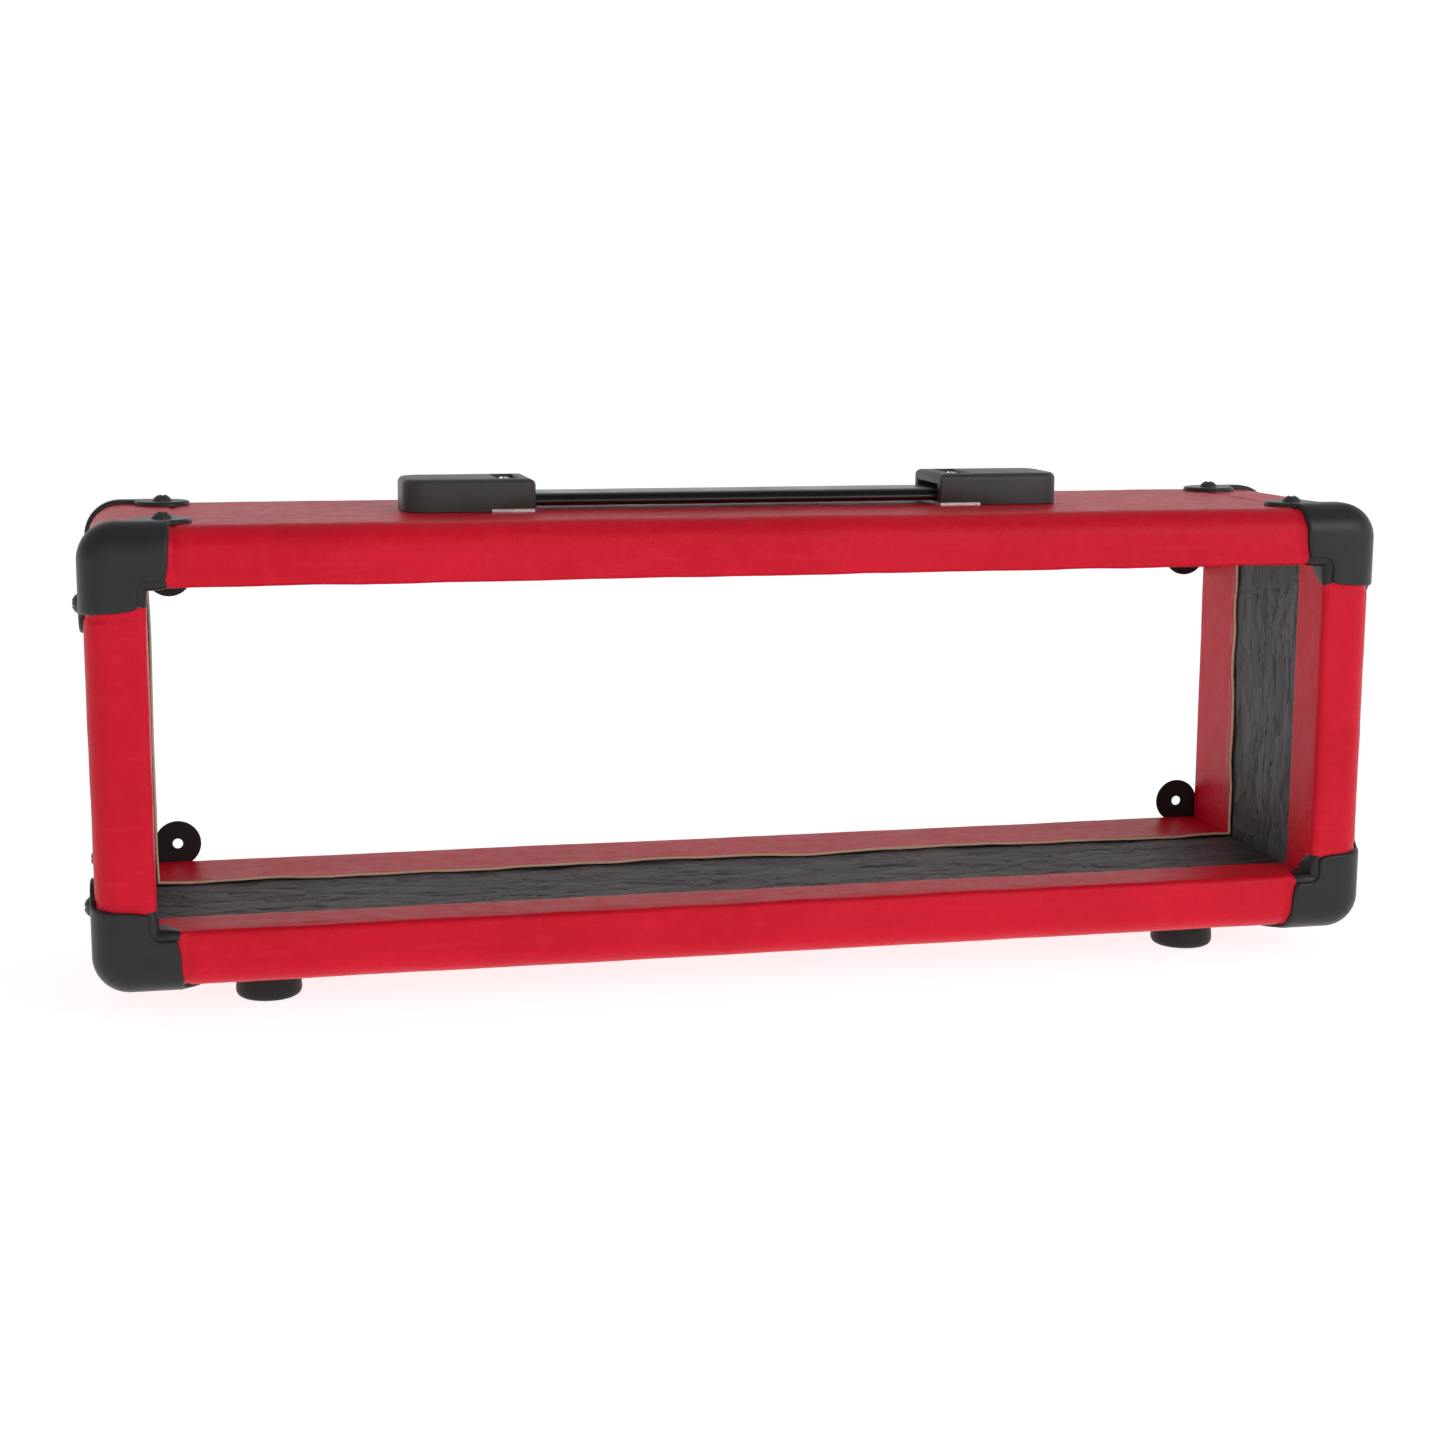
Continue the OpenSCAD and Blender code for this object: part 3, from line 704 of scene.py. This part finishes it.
def guard_shape(rear):
    """A protector in the frame's corner at the origin: an end face and two legs. A rear one has an ear
    on a ledge below its arms, and a front one a web that laps into the bay."""
    shape = Shape()
    xs, ys = zip(*RIM)
    spacing = 1.25

    def seam(length):
        """Points along a shared edge of the box, from the rim to the corner."""
        steps = list(np.arange(spacing, length - RIM[-1][0] - 0.5, spacing))
        return [length - d for d, _ in RIM[1:]] + steps[::-1]

    def panel(rim, ends, place, holes=(), stepped=False):
        outline = [tuple(p) for p in rim]
        outline += [(0, s) for s in seam(ends[1])] + [(0, 0)] + [(s, 0) for s in seam(ends[0])[::-1]]
        edges = [rim] + [np.array(list(h) + [h[0]]) for h in holes]

        def height(points):
            away = np.min([to_line(points, e) for e in edges], axis=0)
            h = np.interp(away, xs, ys)
            if stepped:
                share = np.clip((step_side(points) + 1.1) / 1.1, 0, 1)
                h = h * (LEDGE_H + (GUARD_T - LEDGE_H) * np.sqrt(1 - share ** 2)) / GUARD_T
            return h

        lines = [inward(rim, d) for d, _ in RIM[1:]]
        if stepped:
            lines += [step_line(s) for s in (-1.1, -0.8, -0.5, -0.22, -0.06, 0.0)]
        for hole in holes:
            middle = np.mean(hole, axis=0)
            lines += [[tuple(middle + (np.array(p) - middle) * (1 + d / EAR_HOLE_R))
                       for p in list(hole) + [hole[0]]] for d in (0.15, 0.4, 0.8)]
        loops = [outline] + [list(h) for h in holes]
        fill(shape, loops, spacing, lambda p: wrap(p, height(p), place), lines)
        fill(shape, loops, 3.0, lambda p: wrap(p, [-GUARD_SINK] * len(p), place))
        for edge in edges:
            upper = shape.add(wrap(edge, height(edge), place))
            lower = shape.add(wrap(edge, [-GUARD_SINK] * len(edge), place))
            shape.bridge(upper, lower, closed=False)

    holes = [arc(EAR, EAR_HOLE_R, 0, 360, 28)[:-1]] if rear else []
    panel(guard_outline(rear), (GUARD_REACH, GUARD_REACH), lambda p: (p[0], p[1], 0.0), holes, rear)
    if not rear:
        shape.join(web_shape())
    leg = leg_outline()
    panel(leg, (GUARD_REACH, GUARD_BAND), lambda p: (p[0], 0.0, p[1]))
    panel(leg, (GUARD_REACH, GUARD_BAND), lambda p: (0.0, p[0], p[1]))
    return shape


def web_shape():
    """Thin web of a front protector: it laps over the bay's edge in the corner and ends in a curve."""
    shape = Shape()
    edge = (-BAY_EDGE_R, BAY_EDGE_R)
    under = 0.9               # depth of its hidden side below the covering

    def row(turn):
        share = abs(turn)
        thick = 0.75 - 1.15 * share ** 2.5
        back = BAY_EDGE_R + 0.4 + (WEB_DEPTH - BAY_EDGE_R) * (1 - share ** 1.6)
        line = [(-3.8, -thick)] + arc(edge, BAY_EDGE_R + thick, -90, 0, 8)
        line += [(thick, y) for y in np.linspace(BAY_EDGE_R, back - 0.8, 5)[1:]]
        line += [(thick - 0.15, back - 0.3), (thick - 0.5, back), (-under, back), (-under, BAY_EDGE_R)]
        line += arc(edge, BAY_EDGE_R - under, 0, -90, 6)[1:] + [(-3.8, under)]
        along = share * WEB_REACH
        spots = [(WALL_T + along + h * (1 - share), WALL_T + h, y) for h, y in line]
        return spots if turn < 0 else [(b, a, y) for a, b, y in spots]

    shape.loft([row(t) for t in np.linspace(-1, 1, 41)])
    return shape


def in_corner(shape, side, back, level):
    return shape.transformed(lambda p: (side * (BODY_W / 2 - p[0]), back * (BODY_D / 2 - p[2]),
                                        MID_Z + level * (BODY_H / 2 - p[1])))


# ---- screws ----

def screw_shape(radius, height, shank_r, shank_l):
    """Domed screw with a cross recess, standing at z = 0 with its shank below."""
    shape = Shape()
    around = 56
    ball = radius * 1.18
    sink = ball - math.sqrt(ball ** 2 - (radius * 0.97) ** 2)
    arm_w, arm_l, depth = radius * 0.17, radius * 0.56, height * 0.62

    def top(r, angle):
        z = height - (ball - math.sqrt(ball ** 2 - min(r, radius * 0.97) ** 2)) * (height - 0.45) / sink
        x, y = abs(r * math.cos(angle)), abs(r * math.sin(angle))
        across, out = min(x, y), max(x, y)
        side = min(1, max(0, (arm_w - across) / (radius * 0.05) + 0.5))
        end = min(1, max(0, (arm_l - out) / (radius * 0.16)))
        return z - depth * side * min(1, end * 1.4)

    loops = []
    for r in [0.02] + list(np.linspace(0.09, 0.94, 15)) + [0.97]:
        ring = []
        for i in range(around):
            a = 2 * math.pi * i / around
            ring.append((radius * r * math.cos(a), radius * r * math.sin(a), top(radius * r, a)))
        loops.append(ring)

    rim = [(radius * 0.99, 0.36), (radius, 0.22), (radius, 0.05), (radius * 0.97, -0.02)]
    shank = [(shank_r + 0.3, -0.02), (shank_r, -0.4), (shank_r, -shank_l + 2), (0.2, -shank_l)]
    loops += [circle(r, z, around) for r, z in rim + shank]
    shape.loft(loops)
    return shape


def placed(shape, at, down, spin):
    """The shape turned so that its -Z points along down, spun about its axis, and moved to at."""
    turn = (-Vector(down)).to_track_quat("Z", "Y").to_matrix() @ Matrix.Rotation(math.radians(spin), 3, "Z")
    return shape.transformed(lambda p: turn @ Vector(p) + Vector(at))


# ---- handle ----

def cap_plan(inset, count=8):
    """Plan outline of the right cap: nearly square at its mouth, rounded at its outer end."""
    x0, x1 = CAP_X
    w = CAP_W / 2
    mouth_r, end_r = 0.9, 9.0
    least = 0.15 + 0.05 * inset
    # The radii at the mouth stop shrinking before the sides do, so its corners then move in bodily.
    spare = max(inset - (mouth_r - least), 0)
    corners = ((x1 - end_r, -w + end_r, end_r, -90), (x1 - end_r, w - end_r, end_r, 0),
               (x0 + mouth_r + spare, w - mouth_r - spare, mouth_r, 90),
               (x0 + mouth_r + spare, -w + mouth_r + spare, mouth_r, 180))
    points = []
    for x, y, r, start in corners:
        points += arc((x, y), max(r - inset, least), start, start + 90, count)
    return points


def solid_object(name, loops):
    shape = Shape()
    shape.loft(loops)
    return mesh_object(name, shape, [])


def box_loops(x, y, z, r, draft=0.0, count=5):
    """Loops of an upright block with rounded vertical edges; draft widens it upwards."""
    loops = []
    for level, grow in ((z[0], 0.0), (z[1], draft)):
        loop = []
        for cx, cy, start in ((x[1] - r, y[0] + r, -90), (x[1] - r, y[1] - r, 0),
                              (x[0] + r, y[1] - r, 90), (x[0] + r, y[0] + r, 180)):
            loop += [(px, py, level) for px, py in arc((cx, cy), r + grow, start, start + 90, count)]
        loops.append(loop)
    return loops


def cap_object(name, material):
    """The right end cap: its outer form with the cavity, the pocket and the base plate's notch cut out."""
    levels = [(0.35, 0.0), (0.0, 0.35)]
    levels += [(CAP_ROUND - a, z) for a, z in arc((0, CAP_H - CAP_ROUND), CAP_ROUND, 0, 90, 7)]
    levels += [(CAP_ROUND + 2, CAP_H + 0.10), (CAP_ROUND + 5, CAP_H + 0.16)]
    body = solid_object(name, [[(x, y, TOP_Z + z) for x, y in cap_plan(inset)] for inset, z in levels])
    side = CAP_W / 2 - CAP_WALL
    cutters = [
        solid_object("cavity", box_loops((CAP_X[0] - 9, CAP_X[1] - CAP_END), (-side, side),
                                         (TOP_Z - 5, TOP_Z + CAP_ROOF), 1.2, -0.4)),
        solid_object("pocket", box_loops(POCKET_X, (-POCKET_W / 2, POCKET_W / 2),
                                         (TOP_Z + POCKET_FLOOR, TOP_Z + CAP_H + 3), 1.5, 0.5)),
        solid_object("notch", box_loops((CAP_X[0] - 5, PLATE_END), (-CAP_W, CAP_W),
                                        (TOP_Z - 4, TOP_Z + PLATE_T), 0.3))]
    for cutter in cutters:
        cut = body.modifiers.new("cut", "BOOLEAN")
        cut.operation, cut.object, cut.solver = "DIFFERENCE", cutter, "EXACT"
    bevel = body.modifiers.new("bevel", "BEVEL")
    bevel.width, bevel.segments, bevel.limit_method = 0.35 * MM, 2, "ANGLE"
    bevel.angle_limit = math.radians(50)
    bpy.context.view_layer.update()
    graph = bpy.context.evaluated_depsgraph_get()
    mesh = bpy.data.meshes.new_from_object(body.evaluated_get(graph))
    body.modifiers.clear()
    body.data = mesh
    mesh.materials.clear()
    mesh.materials.append(material)
    mesh.polygons.foreach_set("material_index", [0] * len(mesh.polygons))
    soften(mesh, 32)
    for cutter in cutters:
        bpy.data.objects.remove(cutter)
    return body


# Half section of the strap from the middle of its top to the middle of its underside: a crowned top,
# a groove along the side, a rib under it and a narrower underside.
STRAP_HALF = [
    (0, 2.75), (6, 2.73), (9.5, 2.66), (11.2, 2.5), (11.9, 2.2), (12.0, 1.9), (11.7, 1.55), (10.9, 1.2),
    (10.6, 0.8), (10.9, 0.45), (11.9, 0.25), (12.6, 0.0), (12.8, -0.45), (12.75, -0.9), (12.3, -1.25),
    (11.1, -1.55), (10.3, -2.1), (9.5, -2.6), (8, -2.75), (0, -2.75)]


def strap_skin(name, material, start, end, nodes):
    """Part of the strap, lofted from its section between x = start and x = end."""
    shape = Shape()
    outline = STRAP_HALF + [(-y, z) for y, z in STRAP_HALF[-2:0:-1]]
    loops = []
    count = int(abs(end - start) / 1.6)
    for i in range(count + 1):
        x = start + (end - start) * i / count
        tip = max(0.0, abs(x) - (STRAP_END - 1.2)) / 1.2
        shrink = 1 - 0.12 * tip ** 2
        loops.append([(x, y * (1 - 0.03 * tip) + 0.05 * wobble((x, y, z), 18, 11),
                       AXIS_Z + z * shrink + 0.04 * wobble((x, y, z), 25, 12)) for y, z in outline])
    shape.loft(loops)
    obj = mesh_object(name, shape, [material], smooth=50)
    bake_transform(obj)
    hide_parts(*nodes)
    return obj


def tongue_shape(side):
    """Steel tongue with a slot for the cap's boss."""
    shape = Shape()
    w, r, t = 9.5, 2.5, 0.6
    x0, x1 = STRAP_END - 1.5, STEEL_END
    outline = [(x0, -w), (x1 - r, -w)] + arc((x1 - r, -w + r), r, -90, 0, 6)[1:]
    outline += arc((x1 - r, w - r), r, 0, 90, 6) + [(x0, w)]
    slot_r = 3.5
    slot = arc((CAP_SCREW_X, 0), slot_r, 90, 270, 12) + arc((CAP_SCREW_X + SLIDE_IN, 0), slot_r, -90, 90, 12)
    ease = 0.2
    levels = [(ease, -t), (0, -t + ease), (0, t - ease), (ease, t)]

    def ring(loop, inset, sign):
        a = np.array(loop)
        run = np.roll(a, -1, axis=0) - np.roll(a, 1, axis=0)
        normal = np.stack([-run[:, 1], run[:, 0]], 1) / np.hypot(*run.T)[:, None]
        return a + normal * inset * sign

    def at(z):
        return lambda points: [(side * x, y, AXIS_Z + z) for x, y in points]

    for loop, sign in ((outline, 1), (slot, -1)):
        shape.loft([at(z)(ring(loop, inset, sign)) for inset, z in levels], ends=False)
    for inset, z in (levels[0], levels[-1]):
        fill(shape, [ring(outline, inset, 1).tolist(), ring(slot, inset, -1).tolist()], 4, at(z))
    return shape


# ---- feet ----

def foot_shape():
    """Rubber foot on the floor at the origin, turned, with a recess for its screw from below."""
    profile = [
        (1.8, FOOT_RECESS_H), (6.2, FOOT_RECESS_H), (6.2, 0.7), (6.6, 0.25), (7.2, 0.0), (9.0, 0.0),
        (9.3, 0.25), (9.7, 0.25), (10.0, 0.0), (10.4, 0.0), (11.5, 0.22), (12.5, 0.85), (13.1, 1.8),
        (13.3, 3.0), (13.15, 5.5), (12.95, 8.0), (12.75, 10.5), (12.62, 12.2), (12.75, 12.9),
        (12.6, FOOT_H - 0.1), (12.2, FOOT_H), (1.8, FOOT_H)]
    shape = Shape()
    rings = shape.loft([circle(r, z, 64) for r, z in profile], ends=False)
    shape.bridge(rings[-1], rings[0])
    return shape


# ---- the object ----

def make_frame_pieces():
    vinyl = vinyl_finish()
    piece("vinyl_covering", vinyl_shape(), [vinyl, backing_finish()], ["vinyl_cover"], smooth=42)
    long_paint, side_paint = board_finish("painted_board_long", 0), board_finish("painted_board_side", 2)
    for level, name in ((-1, "bottom_board"), (1, "top_board")):
        shape = board_shape(True, 11 + level)
        shape = shape.transformed(lambda p: (p[0], p[1], MID_Z + level * (BODY_H / 2 - VINYL_T - p[2])))
        piece(name + "_strand", shape, [long_paint], [name])
    for side, name in ((-1, "left_board"), (1, "right_board")):
        shape = board_shape(False, 21 + side)
        shape = shape.transformed(lambda p: (side * (BODY_W / 2 - VINYL_T - p[2]), p[1], MID_Z + p[0]))
        piece(name + "_strand", shape, [side_paint], [name])


def make_guards():
    plastic = moulded_finish("corner_plastic", (0.0105, 0.0108, 0.011), (0.016, 0.0164, 0.0165),
                             0.38, 0.025, 2600, 0.32)
    shapes = {-1: guard_shape(False), 1: guard_shape(True)}
    for back, where in ((-1, "front"), (1, "rear")):
        for level, height in ((-1, "bottom"), (1, "top")):
            for side, hand in ((-1, "left"), (1, "right")):
                name = f"corner_{where}_{height}_{hand}"
                piece(name + "_guard", in_corner(shapes[back], side, back, level), [plastic],
                      [name], smooth=50)


def make_corner_screws():
    draw = random.Random(5)
    black = painted_metal_finish()
    one = screw_shape(radius=4.0, height=2.6, shank_r=1.75, shank_l=17)
    reach, back_y = LEG_SCREW[0], BODY_D / 2 - LEG_SCREW[1]
    for face in ("top", "bottom", "left", "right"):
        group = Shape()
        for back in (-1, 1):
            for way in (-1, 1):
                if face in ("top", "bottom"):
                    up = 1 if face == "top" else -1
                    at = (way * (BODY_W / 2 - reach), back * back_y, MID_Z + up * (BODY_H / 2 + GUARD_T))
                    down = (0, 0, -up)
                else:
                    out = 1 if face == "right" else -1
                    at = (out * (BODY_W / 2 + GUARD_T), back * back_y, MID_Z + way * (BODY_H / 2 - reach))
                    down = (-out, 0, 0)
                group.join(placed(one, at, down, draw.uniform(0, 90)))
        piece(f"leg_screws_{face}", group, [black], [f"corner_screws_{face}"])


def make_handle(zinc):
    plastic = moulded_finish("cap_plastic", (0.027, 0.0268, 0.026), (0.040, 0.0395, 0.038), 0.42, 0.05, 1900)
    rubber = moulded_finish("strap_rubber", (0.016, 0.016, 0.0155), (0.025, 0.025, 0.024),
                            0.30, 0.005, 2300, 0.6)
    bolt = screw_shape(radius=3.5, height=2.2, shank_r=2.0, shank_l=26)
    flex_mid = (HINGE_IN + HINGE_OUT) / 2
    for side, hand in ((1, "right"), (-1, "left")):
        cap = cap_object(f"handle_end_{hand}", plastic)
        if side < 0:
            cap.data.transform(Matrix.Diagonal((-1, 1, 1, 1)))
            cap.data.flip_normals()
        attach(cap, "frame")
        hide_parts(f"handle_cap_{hand}")
        piece(f"handle_bolt_{hand}",
              placed(bolt, (side * CAP_SCREW_X, 0, TOP_Z + POCKET_FLOOR), (0, 0, -1), 20),
              [zinc], [f"handle_screw_{hand}"])
        piece(f"steel_tongue_{hand}", tongue_shape(side), [zinc], [f"strap_tongue_{hand}"],
              body=f"tongue_{hand}")
        strap_skin(f"strap_end_{hand}", rubber, side * flex_mid, side * STRAP_END,
                   [f"strap_flex_{hand}", f"strap_tongue_{hand}"])
        strap_skin(f"strap_mid_{hand}", rubber, 0.0, side * flex_mid,
                   ["strap_grip", f"strap_flex_{hand}"])


def make_feet(zinc):
    rubber = moulded_finish("foot_rubber", (0.007, 0.007, 0.007), (0.012, 0.012, 0.012),
                            0.52, 0.05, 1500, 0.3)
    foot = foot_shape()
    screw = screw_shape(radius=3.6, height=2.4, shank_r=1.75, shank_l=24)
    screws = Shape()
    for back, where in ((-1, "front"), (1, "rear")):
        for side, hand in ((-1, "left"), (1, "right")):
            x, y = side * FOOT_AT[0], back * FOOT_AT[1]
            shape = foot.transformed(lambda p: (p[0] + x, p[1] + y, p[2]))
            piece(f"rubber_foot_{where}_{hand}", shape, [rubber], [f"foot_{where}_{hand}"])
            screws.join(placed(screw, (x, y, FOOT_RECESS_H), (0, 0, 1), 30 + 40 * side * back))
    piece("foot_bolts", screws, [zinc], ["foot_screws"])


def dress_nodes(zinc):
    """Carried-over CAD nodes whose shape is right."""
    for name in ("joint_screws", "handle_base_left", "handle_base_right", "foot_washers"):
        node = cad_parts[name]
        node.data.materials.clear()
        node.data.materials.append(zinc)


def make_stage():
    bpy.ops.mesh.primitive_grid_add(x_subdivisions=2, y_subdivisions=2, size=FLOOR_SIZE)
    floor = bpy.context.object
    floor.name = "floor"
    floor.data.materials.append(floor_finish())
    world = bpy.data.worlds.new("studio")
    bpy.context.scene.world = world
    world.use_nodes = True
    nodes, links = world.node_tree.nodes, world.node_tree.links
    nodes["Background"].inputs["Color"].default_value = (1, 1, 1, 1)
    way = nodes.new("ShaderNodeSeparateXYZ")
    links.new(nodes.new("ShaderNodeTexCoord").outputs["Generated"], way.inputs[0])
    both = nodes.new("ShaderNodeMath")
    both.operation = "MULTIPLY"
    # White round the horizon, less bright overhead and on the left.
    for i, (axis, *values) in enumerate((("Z", 0.12, 0.6, 1.02, 0.40), ("X", -1.0, -0.2, 0.62, 1.0))):
        fade = nodes.new("ShaderNodeMapRange")
        for socket, value in zip(("From Min", "From Max", "To Min", "To Max"), values):
            fade.inputs[socket].default_value = value
        links.new(way.outputs[axis], fade.inputs["Value"])
        links.new(fade.outputs["Result"], both.inputs[i])
    links.new(both.outputs[0], nodes["Background"].inputs["Strength"])
    add_light("key", (1.6, 1.2), 20, (1.5, -2.2, 1.3))
    bpy.context.scene.view_settings.view_transform = "Standard"


add_camera()
make_stage()
make_frame_pieces()
make_guards()
make_corner_screws()
steel = zinc_finish()
make_handle(steel)
make_feet(steel)
dress_nodes(steel)
